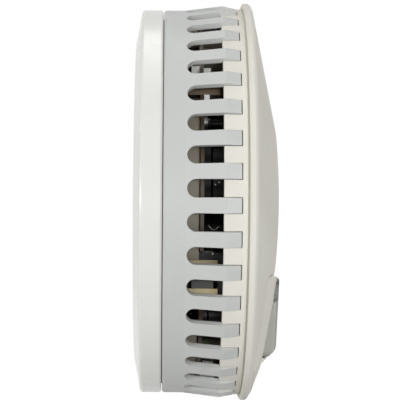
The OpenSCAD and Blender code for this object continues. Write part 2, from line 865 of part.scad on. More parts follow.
module transformer_winding() {
    room = coil_l - 2 * coil_flange - 2 * core_room;
    color("saddlebrown") hung() translate([coil_at[0], coil_at[1], z_coil]) difference() {
        rotate([90, 0, 0]) linear_extrude(room, center = true)
            round_rect(coil_w - 2 * wire_inset, coil_h - 2 * wire_inset, 1);
        block(barrel_w + 2 * core_room, coil_l, barrel_w + 2 * core_room);
    }
}

// Closed core: one bar in the bobbin, the other over it
module transformer_core() {
    bar = core_t;
    top = coil_h / 2 + core_room;
    span = coil_l + 2 * core_room;
    color("black") hung() translate([coil_at[0], coil_at[1], z_coil]) difference() {
        translate([-core_w / 2, -span / 2 - bar, -bar / 2]) cube([core_w, span + 2 * bar, top + 3 * bar / 2]);
        translate([0, 0, (bar / 2 + top) / 2]) block(core_w + over, span, top - bar / 2);
    }
}

module line_choke() {
    color("saddlebrown") hung() translate([choke_at[0], choke_at[1], 0]) {
        translate([0, 0, z_coil + core_room]) rotate([90, 0, 0]) linear_extrude(choke_d, center = true)
            round_rect(choke_w, choke_h, 1);
        translate([choke_w / 2 - 1, -choke_d / 2, z_parts]) cube([1 + choke_foot, choke_d, choke_foot]);
    }
}

// Flat chip with a row of legs along two sides
module chip(size, legs) {
    pitch = size[1] / legs;
    translate([-size[0] / 2, -size[1] / 2, chip_leg]) cube([size[0], size[1], size[2] - chip_leg]);
    for (i = [0 : legs - 1]) translate([-size[0] / 2 - 1, -size[1] / 2 + (i + 0.3) * pitch, 0])
        cube([size[0] + 2, pitch * 0.4, chip_leg + eps]);
}

module control_chips() {
    color("dimgray") hung() {
        translate([power_x, chip_y, z_parts]) chip(main_chip, 8);
        translate([power_x, -chip_y, z_parts]) chip(drive_chip, 7);
    }
}

// Can of an electrolytic capacitor with its crimped groove
module can(r, h) rotate_extrude() polygon([
    [0, 0], [r, 0], [r, 1], [r - 0.4, 1.5], [r, 2], [r, h - 0.4], [r - 0.4, h], [0, h]]);

module capacitors() {
    color("darkslategray") hung()
        for (c = cans) translate(concat(on_board(c[0], c[1]), z_parts)) can(c[2], c[3]);
}

module film_capacitor() {
    color("gold") hung() translate(concat(film_at, z_parts))
        linear_extrude(film[2]) round_rect(film[0], film[1], 1);
}

module resistors() {
    color("tan") hung() for (y = resistor_y) translate([resistor_x, y, z_parts + resistor_r + 0.1])
        rotate([0, 90, 0]) {
            cylinder(r = resistor_r, h = resistor_l, $fn = fine);
            translate([0, 0, -lead_l]) cylinder(r = lead_r, h = resistor_l + 2 * lead_l, $fn = fine);
            // ends of the leads, bent down to the board
            for (s = [-lead_l, resistor_l + lead_l - 2 * lead_r]) translate([0, -lead_r, s])
                cube([resistor_r + 0.1, 2 * lead_r, 2 * lead_r]);
        }
}

// Ends of the header's pins, seen from the front
module header_pins(wide) for (x = [-1, 0, 1]) translate([header_at[0] + x * header[0] / 3, header_at[1]])
    square(wide, center = true);

// Connector on the back of the board whose pins and cap stand out in front
module board_header() {
    color("white") hung() {
        translate(concat(header_at, z_board - header_drop / 2)) block(header[0], header[1], header_drop);
        translate(concat(header_at, z_parts)) linear_extrude(header[2]) difference() {
            square([header[0] - 1, header[1] - 1.4], center = true);
            square([header[0] - 2.4, header[1] - 2.8], center = true);
        }
        translate([0, 0, z_board - eps]) linear_extrude(board_t + header[2] - 1) header_pins(header_pin);
    }
}

module board_clip() {
    color("white") hung() translate(concat(clip_at, z_parts + clip[2] / 2)) block(clip[0], clip[1], clip[2]);
}

module alarm_leds() {
    color("red") hung() for (x = lamp_x) translate([x, lamp_y, z_parts]) {
        cylinder(r = lamp_r + 0.4, h = 1, $fn = fine);
        cylinder(r = lamp_r, h = lamp_h - lamp_r, $fn = fine);
        translate([0, 0, lamp_h - lamp_r]) sphere(lamp_r, $fn = fine);
    }
}

module switch_body() {
    color("black") hung() translate([0, button_y, z_parts]) difference() {
        linear_extrude(switch_h) round_rect(switch_w, switch_w, 1);
        translate([0, 0, 0.4]) cylinder(r = plunger_r + part_gap, h = switch_h, $fn = fine);
    }
}

module switch_plunger() {
    color("firebrick") hung() translate([0, button_y, 0]) {
        translate([0, 0, z_parts + plunger_foot]) cylinder(r = plunger_r, h = 4, $fn = fine);
        translate([0, 0, z_parts + plunger_foot])
            cylinder(r = stem_r, h = z_plunger - z_parts - plunger_foot - eps, $fn = fine);
    }
}

// ---------- inlet at the back ----------

function blade_x() = [for (i = [-1 : 1]) power_x + i * blade_pitch];

module power_socket() {
    color("black") hung() difference() {
        translate([power_x, 0, z_house]) linear_extrude(z_board - z_house - stop_gap)
            round_rect(power_w, power_d, 1);
        translate([power_x, 0, z_house - over]) linear_extrude(power_deep + over)
            round_rect(power_w - 2 * power_t, power_d - 2 * power_t, 1);
        for (x = blade_x()) translate([x - blade_t / 2, -blade_w / 2, z_house])
            cube([blade_t, blade_w, z_board]);
    }
}

module power_pins() {
    color("silver") hung() for (x = blade_x())
        translate([x - blade_t / 2 + eps, -blade_w / 2 + eps, z_house + blade_start])
            cube([blade_t - 2 * eps, blade_w - 2 * eps, z_board - z_house - blade_start - stop_gap]);
}

// ---------- battery drawer ----------

module battery_drawer() {
    top = z_bay_top - part_gap;
    color("gainsboro") hung() difference() {
        union() {
            translate([drawer_start, -drawer_w / 2, z_drawer])
                cube([front_in - drawer_start + eps, drawer_w, z_cells - z_drawer]);
            intersection() {
                rotate_extrude()
                    polygon(concat([[0, z_house], [body_r, z_house]], wall_line(0), [[0, z_tooth]]));
                translate([front_in, -drawer_w / 2, z_drawer]) cube([body_r, drawer_w, top - z_drawer]);
            }
        }
        for (s = [-1, 1]) translate([drawer_start + lip_t, s * cell_y, z_cells]) rotate([0, 90, 0])
            cylinder(r = cell_r + cell_room, h = front_in - drawer_start - lip_t);
        translate([drawer_start - over, -cell_y, z_drawer + drawer_t + lip_h])
            cube([front_in - drawer_start + over, 2 * cell_y, z_front]);
        translate([drawer_start - over, -drawer_w, z_drawer + drawer_t + lip_h])
            cube([lip_t + over, 2 * drawer_w, z_front]);
        // finger groove
        translate([body_r + 3, 0, (z_drawer + top) / 2]) rotate([90, 0, 0])
            cylinder(r = 5, h = drawer_w - 12, center = true, $fn = fine);
    }
}

// AA cell along X with its button at the far end
module cell() rotate([0, 90, 0]) rotate_extrude() polygon([
    [0, 0], [cell_r - 0.9, 0], [cell_r, 0.6], [cell_r, cell_l - 2], [cell_r - 0.8, cell_l - 1],
    [2.75, cell_l - 1], [2.75, cell_l], [0, cell_l]]);

module battery_upper() {
    color("dimgray") hung() translate([cell_end, cell_y, z_cells]) rotate([0, 0, 180]) cell();
}

module battery_lower() {
    color("dimgray") hung() translate([cell_start, -cell_y, z_cells]) cell();
}

// Two plates with pressed bumps at the inner end of the bay
module cell_contacts() {
    color("silver") hung() for (s = [-1, 1]) translate([bay_start + bay_wall, s * cell_y, z_cells]) {
        translate([0, -contact_w / 2, -contact_h / 2]) cube([contact_t, contact_w, contact_h]);
        rotate([0, 90, 0])
            cylinder(r1 = bump_r[0], r2 = bump_r[1], h = contact_bump + contact_t - contact_room, $fn = fine);
    }
}

// Plate that joins the two cells at the drawer's front
module cell_bridge() {
    color("silver") hung() translate([front_in - bridge_t, 0, z_cells]) rotate([0, 90, 0])
        linear_extrude(bridge_t - eps) round_rect(bridge_w, bridge_l, 1);
}

// ---------- screws ----------

// Screw pointing up from its head, with a cross in the head
module screw(r, l, wide, h) difference() {
    union() {
        cylinder(r1 = wide - h / 3, r2 = wide, h = h, $fn = fine);
        cylinder(r = r, h = l - r, $fn = fine);
        translate([0, 0, l - r]) cylinder(r1 = r, r2 = r / 4, h = r, $fn = fine);
    }
    for (a = [0, 90]) rotate([0, 0, a]) translate([-wide / 2, -h / 4, -over])
        cube([wide, h / 2, over + h / 2]);
}

module cover_screws() {
    color("gray") hung() for (a = screw_angles) at_polar(a, screw_at) translate([0, 0, z_house + head_room])
        screw(screw_r, screw_l, head_r, head_h);
}

module board_screws() {
    color("gray") hung() for (a = board_screw_angles) at_polar(a, board_screw_at)
        translate([0, 0, z_parts + board_head_h]) rotate([180, 0, 0])
        screw(board_screw_r, board_screw_l + board_head_h - board_head_sink, board_head_r, board_head_h);
}

mounting_plate();
rear_housing();
front_cover();
test_button();
status_window();
light_guide();
circuit_board();
horn_body();
piezo_disc();
horn_gasket();
sensor_body();
sensor_cap();
transformer_bobbin();
transformer_winding();
transformer_core();
line_choke();
control_chips();
capacitors();
film_capacitor();
resistors();
board_header();
board_clip();
alarm_leds();
switch_body();
switch_plunger();
button_spring();
power_socket();
power_pins();
battery_drawer();
battery_upper();
battery_lower();
cell_contacts();
cell_bridge();
cover_screws();
board_screws();
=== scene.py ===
"""Looks of a round wall-mounted carbon monoxide alarm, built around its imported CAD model.

Lengths are metres in the CAD model's frame: the wall is the plane y = 0, the front faces -Y and +Z is up.
"""
from __future__ import annotations

import json
import logging
import math
from dataclasses import dataclass
from enum import Enum

import bmesh
import bpy
from mathutils import Matrix, Vector
from mathutils.bvhtree import BVHTree
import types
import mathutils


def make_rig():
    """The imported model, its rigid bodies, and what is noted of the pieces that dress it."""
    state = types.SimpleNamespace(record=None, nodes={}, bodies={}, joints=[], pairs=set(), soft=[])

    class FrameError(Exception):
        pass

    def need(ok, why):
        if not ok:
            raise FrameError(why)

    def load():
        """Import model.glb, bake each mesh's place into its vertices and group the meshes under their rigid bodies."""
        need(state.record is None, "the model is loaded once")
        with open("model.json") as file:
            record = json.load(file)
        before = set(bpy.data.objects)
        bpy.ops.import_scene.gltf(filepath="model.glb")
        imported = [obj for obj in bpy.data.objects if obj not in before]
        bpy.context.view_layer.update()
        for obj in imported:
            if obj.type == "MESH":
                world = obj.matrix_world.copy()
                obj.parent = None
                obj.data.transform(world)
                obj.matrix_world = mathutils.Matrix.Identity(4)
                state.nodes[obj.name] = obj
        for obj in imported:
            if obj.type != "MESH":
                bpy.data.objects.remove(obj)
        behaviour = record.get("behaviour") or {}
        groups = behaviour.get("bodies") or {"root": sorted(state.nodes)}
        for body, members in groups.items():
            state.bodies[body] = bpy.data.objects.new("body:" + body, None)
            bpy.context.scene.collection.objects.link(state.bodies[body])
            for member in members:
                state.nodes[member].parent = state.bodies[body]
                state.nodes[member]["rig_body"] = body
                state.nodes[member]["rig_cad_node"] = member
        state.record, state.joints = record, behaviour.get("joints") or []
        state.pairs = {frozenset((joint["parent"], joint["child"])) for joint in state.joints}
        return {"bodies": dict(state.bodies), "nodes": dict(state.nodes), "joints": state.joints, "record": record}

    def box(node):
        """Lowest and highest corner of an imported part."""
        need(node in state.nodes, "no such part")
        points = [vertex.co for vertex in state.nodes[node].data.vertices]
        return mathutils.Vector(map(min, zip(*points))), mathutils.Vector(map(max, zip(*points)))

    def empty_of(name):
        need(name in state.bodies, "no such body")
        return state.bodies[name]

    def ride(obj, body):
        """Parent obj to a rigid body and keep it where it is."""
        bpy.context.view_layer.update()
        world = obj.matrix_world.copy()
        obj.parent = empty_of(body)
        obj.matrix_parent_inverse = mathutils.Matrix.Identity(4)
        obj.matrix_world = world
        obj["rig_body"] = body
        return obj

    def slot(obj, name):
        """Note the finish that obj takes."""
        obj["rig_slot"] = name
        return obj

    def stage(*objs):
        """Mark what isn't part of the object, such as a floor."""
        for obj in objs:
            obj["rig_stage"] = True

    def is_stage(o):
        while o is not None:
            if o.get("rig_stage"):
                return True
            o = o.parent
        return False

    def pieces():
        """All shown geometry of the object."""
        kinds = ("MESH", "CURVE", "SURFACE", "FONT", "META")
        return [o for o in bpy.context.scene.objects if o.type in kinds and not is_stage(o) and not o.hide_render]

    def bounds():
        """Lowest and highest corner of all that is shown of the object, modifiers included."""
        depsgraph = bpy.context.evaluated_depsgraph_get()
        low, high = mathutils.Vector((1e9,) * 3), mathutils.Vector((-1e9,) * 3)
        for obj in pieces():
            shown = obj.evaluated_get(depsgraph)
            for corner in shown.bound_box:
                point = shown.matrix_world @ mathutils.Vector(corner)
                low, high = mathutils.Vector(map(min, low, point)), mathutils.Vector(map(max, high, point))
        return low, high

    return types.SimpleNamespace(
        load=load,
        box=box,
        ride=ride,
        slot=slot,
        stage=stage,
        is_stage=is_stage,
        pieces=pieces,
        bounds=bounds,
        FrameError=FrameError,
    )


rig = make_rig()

LOG = logging.getLogger("alarm")
MM = 0.001
PHOTO_SIDE = 407
WHITE = (1.0, 1.0, 1.0, 1.0)
# numbers of the sockets of a Mix node that mixes colours
FIRST, SECOND, MIXED = 6, 7, 2
# values that most of a noise pattern lies between
NOISE_ENDS = (0.3, 0.7)


# ---------- colours and nodes ----------

def linear(colour: str) -> tuple[float, float, float, float]:
    """Turns an sRGB hex colour into linear light by the sRGB curve.

    Args:
        colour: six hex digits after a hash.

    Returns:
        Linear red, green and blue, and a full alpha.
    """
    parts = [int(colour[i:i + 2], 16) / 255 for i in (1, 3, 5)]
    light = [p / 12.92 if p <= 0.04045 else ((p + 0.055) / 1.055) ** 2.4 for p in parts]
    return (*light, 1.0)


def add_node(tree: bpy.types.NodeTree, kind: str, settings: dict[str, object] | None = None,
             inputs: dict[str | int, object] | None = None) -> bpy.types.Node:
    """Adds one node with its settings and links.

    Args:
        tree: node tree that takes the node.
        kind: Blender's name of the node, without its ShaderNode prefix.
        settings: attributes to set on the node.
        inputs: a value or an output socket for each input, by name or number.

    Returns:
        The new node.
    """
    node = tree.nodes.new("ShaderNode" + kind)
    for name, value in (settings or {}).items():
        setattr(node, name, value)
    for name, value in (inputs or {}).items():
        if isinstance(value, bpy.types.NodeSocket):
            tree.links.new(value, node.inputs[name])
        else:
            node.inputs[name].default_value = value
    return node


def blank(name: str) -> tuple[bpy.types.Material, bpy.types.NodeTree, bpy.types.NodeSocket]:
    """Makes an empty material.

    Args:
        name: name of the material.

    Returns:
        The material, its node tree and the socket with the place on the object.
    """
    material = bpy.data.materials.new(name)
    material.use_nodes = True
    material.node_tree.nodes.clear()
    place = add_node(material.node_tree, "TexCoord").outputs["Object"]
    return material, material.node_tree, place


def seen_ray(tree: bpy.types.NodeTree) -> bpy.types.NodeSocket:
    """Adds the nodes that tell a ray which shows the background: straight, by a reflection or through glass.

    Args:
        tree: node tree that takes the nodes.

    Returns:
        Socket that is 1 for such a ray and 0 for light that falls on the alarm.
    """
    path = add_node(tree, "LightPath")
    mirrored = add_node(tree, "Math", {"operation": "MAXIMUM"}, {
        0: path.outputs["Is Camera Ray"], 1: path.outputs["Is Glossy Ray"]})
    return add_node(tree, "Math", {"operation": "MAXIMUM"}, {
        0: mirrored.outputs[0], 1: path.outputs["Is Transmission Ray"]}).outputs[0]


def per_metre(size_mm: float) -> float:
    """Scale of a noise pattern whose features are this many millimetres across."""
    return 1 / (size_mm * MM)


# ---------- finishes ----------

@dataclass(frozen=True)
class PaintedShade:
    """Painted shade: a grey-brown darkening of a part's inner faces, where shade falls inside the alarm.

    It lies within a radius from the alarm's axis, and between a lowest and a highest distance from the wall.
    """

    inner_radius_mm: float
    lowest_mm: float = 0.0
    highest_mm: float = 60.0
    # grey-brown colour of the painted shade
    colour: str = "#8b8372"
    # share of the plastic's colour that it hides, and the width over which it fades
    cover: float = 0.92
    edge_mm: float = 0.6

    def share(self, tree: bpy.types.NodeTree, place: bpy.types.NodeSocket) -> bpy.types.NodeSocket:
        """Adds the nodes that tell how much painted shade a place gets.

        Args:
            tree: node tree that takes the nodes.
            place: socket with the place on the object.

        Returns:
            Socket with the painted shade's share.
        """
        flat = add_node(tree, "VectorMath", {"operation": "MULTIPLY"}, {0: place, 1: (1.0, 0.0, 1.0)})
        radius = add_node(tree, "VectorMath", {"operation": "LENGTH"}, {0: flat.outputs["Vector"]})
        depth = add_node(tree, "SeparateXYZ", inputs={"Vector": place})
        from_wall = add_node(tree, "Math", {"operation": "MULTIPLY"}, {0: depth.outputs["Y"], 1: -1.0})
        share = None
        for value, limit, sign in ((radius.outputs["Value"], self.inner_radius_mm, 1),
                                   (from_wall.outputs[0], self.lowest_mm, -1),
                                   (from_wall.outputs[0], self.highest_mm, 1)):
            edge = sign * self.edge_mm / 2
            step = add_node(tree, "MapRange", inputs={
                "Value": value, "From Min": (limit - edge) * MM, "From Max": (limit + edge) * MM,
                "To Min": self.cover if share is None else 1.0, "To Max": 0.0})
            share = step.outputs["Result"] if share is None else add_node(
                tree, "Math", {"operation": "MULTIPLY"}, {0: share, 1: step.outputs["Result"]}).outputs[0]
        return share


@dataclass(frozen=True)
class MouldedPlastic:
    """Injection-moulded plastic with the mould's fine grain, a slow drift of tone and softened edges."""

    name: str
    colour: str
    shade: str
    roughness: float
    # a mould's grain is about a tenth of a millimetre wide: it is made as coarse as it needs to show
    grain_mm: float = 0.5
    grain_depth_mm: float = 0.012
    drift_mm: float = 30.0
    edge_mm: float = 0.25
    ior: float = 1.53
    coat: float = 0.0
    coat_roughness: float = 0.12
    # how much the drift takes from the roughness and adds to it
    roughness_drift: float = 0.12
    edge_samples: int = 4
    # painted shade on the inner faces, if the plastic has any
    painted_shade: PaintedShade | None = None

    def material(self) -> bpy.types.Material:
        """Builds the plastic: grain in the bump, drift in colour and roughness, painted shade on the inner faces.

        Returns:
            The material.
        """
        material, tree, place = blank(self.name)
        drift = add_node(tree, "TexNoise", inputs={
            "Vector": place, "Scale": per_metre(self.drift_mm), "Detail": 3.0, "Roughness": 0.6})
        grain = add_node(tree, "TexNoise", inputs={
            "Vector": place, "Scale": per_metre(self.grain_mm), "Detail": 2.0, "Roughness": 0.5})
        colour = add_node(tree, "Mix", {"data_type": "RGBA"}, {
            "Factor": drift.outputs["Fac"], FIRST: linear(self.colour), SECOND: linear(self.shade)})
        # painted shade: the inner faces are mixed towards a grey-brown
        if self.painted_shade:
            colour = add_node(tree, "Mix", {"data_type": "RGBA"}, {
                "Factor": self.painted_shade.share(tree, place), FIRST: colour.outputs[MIXED],
                SECOND: linear(self.painted_shade.colour)})
        rough = add_node(tree, "MapRange", inputs={
            "Value": drift.outputs["Fac"], "From Min": NOISE_ENDS[0], "From Max": NOISE_ENDS[1],
            "To Min": self.roughness * (1 - self.roughness_drift),
            "To Max": self.roughness * (1 + self.roughness_drift)})
        soft = add_node(tree, "Bevel", {"samples": self.edge_samples}, {"Radius": self.edge_mm * MM})
        bump = add_node(tree, "Bump", inputs={
            "Strength": 1.0, "Distance": self.grain_depth_mm * MM,
            "Height": grain.outputs["Fac"], "Normal": soft.outputs["Normal"]})
        shader = add_node(tree, "BsdfPrincipled", inputs={
            "Base Color": colour.outputs[MIXED], "Roughness": rough.outputs["Result"], "IOR": self.ior,
            "Coat Weight": self.coat, "Coat Roughness": self.coat_roughness,
            "Normal": bump.outputs["Normal"]})
        add_node(tree, "OutputMaterial", inputs={"Surface": shader.outputs["BSDF"]})
        return material


@dataclass(frozen=True)
class PlatedMetal:
    """Thin sheet, wire or turned metal with a plated or drawn surface."""

    name: str
    colour: str
    roughness: float
    # real streaks are finer than this: they are made as coarse as they need to show
    streak_mm: float = 1.2
    stretch: tuple[float, float, float] = (1.0, 1.0, 12.0)
    tarnish: str = "#8c8880"
    streak_depth_mm: float = 0.01
    streak_strength: float = 0.6
    # shares of the roughness along the smoothest and the roughest streak
    roughness_ends: tuple[float, float] = (0.75, 1.3)
    stain_mm: float = 6.0
    # noise values where the tarnish starts and is full, and its share there
    stain_ends: tuple[float, float] = (0.45, 0.75)
    stain_cover: float = 0.45

    def material(self) -> bpy.types.Material:
        """Builds the metal: drawn streaks in roughness and bump, a little tarnish in the colour.

        Returns:
            The material.
        """
        material, tree, place = blank(self.name)
        along = add_node(tree, "Mapping", inputs={"Vector": place, "Scale": self.stretch})
        streak = add_node(tree, "TexNoise", inputs={
            "Vector": along.outputs["Vector"], "Scale": per_metre(self.streak_mm), "Detail": 4.0})
        stain = add_node(tree, "TexNoise", inputs={
            "Vector": place, "Scale": per_metre(self.stain_mm), "Detail": 3.0})
        share = add_node(tree, "MapRange", inputs={
            "Value": stain.outputs["Fac"], "From Min": self.stain_ends[0], "From Max": self.stain_ends[1],
            "To Min": 0.0, "To Max": self.stain_cover})
        colour = add_node(tree, "Mix", {"data_type": "RGBA"}, {
            "Factor": share.outputs["Result"], FIRST: linear(self.colour), SECOND: linear(self.tarnish)})
        rough = add_node(tree, "MapRange", inputs={
            "Value": streak.outputs["Fac"], "From Min": NOISE_ENDS[0], "From Max": NOISE_ENDS[1],
            "To Min": self.roughness * self.roughness_ends[0],
            "To Max": self.roughness * self.roughness_ends[1]})
        bump = add_node(tree, "Bump", inputs={
            "Strength": self.streak_strength, "Distance": self.streak_depth_mm * MM,
            "Height": streak.outputs["Fac"]})
        shader = add_node(tree, "BsdfPrincipled", inputs={
            "Base Color": colour.outputs[MIXED], "Metallic": 1.0, "Roughness": rough.outputs["Result"],
            "Normal": bump.outputs["Normal"]})
        add_node(tree, "OutputMaterial", inputs={"Surface": shader.outputs["BSDF"]})
        return material


@dataclass(frozen=True)
class PaperLaminate:
    """Brown phenolic paper board: punched fibrous edges and a lacquered face."""

    name: str = "phenolic paper laminate"
    colour: str = "#2b1c0d"
    fibre: str = "#433017"
    fibre_mm: float = 0.7
    fibre_depth_mm: float = 0.03
    fibre_strength: float = 0.8
    # the paper's layers squeeze the pattern along the board's thickness
    layers: tuple[float, float, float] = (1.0, 6.0, 1.0)
    roughness: float = 0.45
    ior: float = 1.55

    def material(self) -> bpy.types.Material:
        """Builds the laminate: layers along the board's thickness, fibres across it.

        Returns:
            The material.
        """
        material, tree, place = blank(self.name)
        layers = add_node(tree, "Mapping", inputs={"Vector": place, "Scale": self.layers})
        fibre = add_node(tree, "TexNoise", inputs={
            "Vector": layers.outputs["Vector"], "Scale": per_metre(self.fibre_mm), "Detail": 5.0,
            "Roughness": 0.65})
        colour = add_node(tree, "Mix", {"data_type": "RGBA"}, {
            "Factor": fibre.outputs["Fac"], FIRST: linear(self.colour), SECOND: linear(self.fibre)})
        bump = add_node(tree, "Bump", inputs={
            "Strength": self.fibre_strength, "Distance": self.fibre_depth_mm * MM,
            "Height": fibre.outputs["Fac"]})
        shader = add_node(tree, "BsdfPrincipled", inputs={
            "Base Color": colour.outputs[MIXED], "Roughness": self.roughness, "IOR": self.ior,
            "Normal": bump.outputs["Normal"]})
        add_node(tree, "OutputMaterial", inputs={"Surface": shader.outputs["BSDF"]})
        return material


@dataclass(frozen=True)
class ClearAcrylic:
    """Moulded clear acrylic with faint flow marks."""

    name: str = "clear moulded acrylic"
    colour: str = "#f2f5f5"
    flow_mm: float = 4.0
    flow_depth_mm: float = 0.02
    flow_strength: float = 0.3
    roughness: float = 0.06
    ior: float = 1.49

    def material(self) -> bpy.types.Material:
        """Builds the acrylic: clear, with flow marks in the bump.

        Returns:
            The material.
        """
        material, tree, place = blank(self.name)
        flow = add_node(tree, "TexNoise", inputs={
            "Vector": place, "Scale": per_metre(self.flow_mm), "Detail": 1.0})
        bump = add_node(tree, "Bump", inputs={
            "Strength": self.flow_strength, "Distance": self.flow_depth_mm * MM,
            "Height": flow.outputs["Fac"]})
        shader = add_node(tree, "BsdfPrincipled", inputs={
            "Base Color": linear(self.colour), "Roughness": self.roughness, "IOR": self.ior,
            "Transmission Weight": 1.0, "Normal": bump.outputs["Normal"]})
        add_node(tree, "OutputMaterial", inputs={"Surface": shader.outputs["BSDF"]})
        return material


class Finish(Enum):
    """Finishes of the alarm's pieces, each from what the real one is made of.

    After a plastic's two colours come its roughness, its grain's size and depth, the drift's size and the
    softened edge, all in millimetres, and its IOR where that isn't the usual one. After a metal's colour come
    its roughness and the size of its streaks.
    """

    # glossy moulded ABS of the plate: its polished ring shows the lamp as a soft band
    GLOSS_WHITE_ABS = MouldedPlastic("glossy white ABS", "#f0f0ec", "#e9e9e4", 0.26, 0.7, 0.006, 40, 0.35)
    # moulded ABS of the housing, cool grey: a fine spark-eroded grain keeps it matt. Painted shade darkens its inner
    # faces.
    GREY_ABS = MouldedPlastic("light grey ABS", "#d2d4d2", "#c9cbc8", 0.48, 0.45, 0.014, 26, 0.22,
                              painted_shade=PaintedShade(inner_radius_mm=66.8, lowest_mm=13.2, edge_mm=2.4))
    # moulded ABS of the cover, warm white and a little yellowed: a dull skin that mirrors no lamp. Painted shade
    # darkens its inner faces.
    IVORY_ABS = MouldedPlastic("warm white ABS", "#f1efe7", "#e9e6db", 0.58, 0.5, 0.010, 34, 0.22, 1.18,
                               painted_shade=PaintedShade(inner_radius_mm=66.2, highest_mm=38.2))
    # moulded ABS of the button: greyer than the cover, and satin
    BUTTON_ABS = MouldedPlastic("grey button ABS", "#adada5", "#a1a199", 0.34, 0.4, 0.008, 18, 0.3)
    # moulded window, smoked: dark grey-green and shiny
    SMOKED = MouldedPlastic("smoked polycarbonate", "#55574c", "#484a40", 0.22, 0.6, 0.002, 12, 0.15, 1.58)
    # black mouldings inside: only a faint sheen
    BLACK_MOULDING = MouldedPlastic("black moulded polystyrene", "#0a0a0a", "#060606", 0.34, 0.4, 0.008, 9,
                                    0.2, 1.36)
    # moulded nylon of the bobbin: cream and waxy
    BEIGE_NYLON = MouldedPlastic("natural nylon", "#cdbf95", "#bba97c", 0.42, 0.5, 0.010, 8, 0.2)
    # moulded nylon of header and clip: milky white and satin
    WHITE_NYLON = MouldedPlastic("white nylon", "#e8e9e4", "#dcddd6", 0.40, 0.4, 0.008, 8, 0.15)
    # tape wound over the transformer's wire: almost black, in low ridges
    DARK_TAPE = MouldedPlastic("dark winding tape", "#17110d", "#0f0b08", 0.40, 0.8, 0.012, 4, 0.1)
    # polyester tape wound round the choke: brown, with a sheen
    BROWN_TAPE = MouldedPlastic("brown polyester tape", "#604825", "#4a371b", 0.32, 1.2, 0.010, 6, 0.1)
    # pressed and sintered ferrite: dark grey, dull and grainy
    FERRITE = MouldedPlastic("sintered ferrite", "#19191b", "#111112", 0.55, 0.25, 0.020, 5, 0.1)
    # moulded epoxy of the chips: charcoal and dull
    CHIP = MouldedPlastic("moulded chip epoxy", "#1d1e1f", "#151616", 0.60, 0.2, 0.012, 5, 0.08)
    # sleeve shrunk on to the cans: dark blue and shiny
    SLEEVE = MouldedPlastic("shrink sleeve", "#1b2233", "#141a28", 0.25, 0.8, 0.004, 9, 0.1, coat=0.4)
    # dipped epoxy of the film capacitor: yellow, with soft edges and a gloss
    FILM = MouldedPlastic("dipped epoxy", "#c08a22", "#a87416", 0.30, 0.9, 0.020, 6, 0.3, coat=0.3)
    # lacquer over the resistors' ceramic: tan, with a thin shine
    RESISTOR = MouldedPlastic("lacquered ceramic", "#b08a5a", "#94703f", 0.35, 0.5, 0.015, 3, 0.1)
    # cast epoxy of the lamps: milky and shiny
    LAMP = MouldedPlastic("diffused lamp epoxy", "#dfe6dd", "#ccd8cb", 0.15, 0.6, 0.003, 3, 0.1)
    # moulded acetal of the switch's plunger: red and waxy
    ACETAL = MouldedPlastic("red acetal", "#8c2a22", "#7a2019", 0.38, 0.4, 0.006, 5, 0.1)
    # cut foam of the horn's gasket: dark, without shine
    FOAM = MouldedPlastic("closed-cell foam", "#2a2b2b", "#1c1d1d", 0.92, 0.35, 0.060, 4, 0.1)
    # printed film shrunk on to the cells: dark grey and glossy
    JACKET = MouldedPlastic("printed cell jacket", "#3a3d42", "#2e3135", 0.30, 0.8, 0.003, 15, 0.2, coat=0.5)
    # rolled brass of the sounder disc: yellow, streaked one way
    BRASS = PlatedMetal("rolled brass", "#c9a24f", 0.24, tarnish="#9a7a38")
    # nickel-plated strip and cap: bright and a little warm
    NICKEL = PlatedMetal("nickel plate", "#c9c6be", 0.26)
    # tinned brass of pins, tags and lead: pale, a little yellow
    TINNED = PlatedMetal("tinned brass", "#d2cdbd", 0.30)
    # solder that has set: bright, with no streaks
    SOLDER = PlatedMetal("tin solder", "#c4c5c4", 0.22, 2.0, (1.0, 1.0, 1.0), "#9b9c99")
    # extruded PVC sleeve of the link wires: black and satin
    SLEEVED_WIRE = MouldedPlastic("black PVC sleeve", "#121212", "#0b0b0b", 0.35, 0.6, 0.006, 6, 0.1)
    # drawn spring wire: bright, with fine streaks
    SPRING_WIRE = PlatedMetal("drawn spring wire", "#b9b9b6", 0.22, 0.6)
    # zinc-plated steel of the screws: bluish grey and satin
    ZINC = PlatedMetal("zinc-plated steel", "#b4b7ba", 0.34, tarnish="#8f9290")
    # punched phenolic paper of the board: brown, with fibres in its edge
    LAMINATE = PaperLaminate()
    # moulded clear acrylic of the light guide: glassy, with faint flow marks
    ACRYLIC = ClearAcrylic()


class Palette:
    """Makes each finish's material once and hands it out."""

    def __init__(self) -> None:
        """Starts with no material made."""
        self.made: dict[Finish, bpy.types.Material] = {}

    def get(self, finish: Finish) -> bpy.types.Material:
        """Hands out a finish's material, made on its first use.

        Args:
            finish: the finish.

        Returns:
            Its material.
        """
        if finish not in self.made:
            self.made[finish] = finish.value.material()
        return self.made[finish]


# ---------- shared base of the sub-assemblies ----------

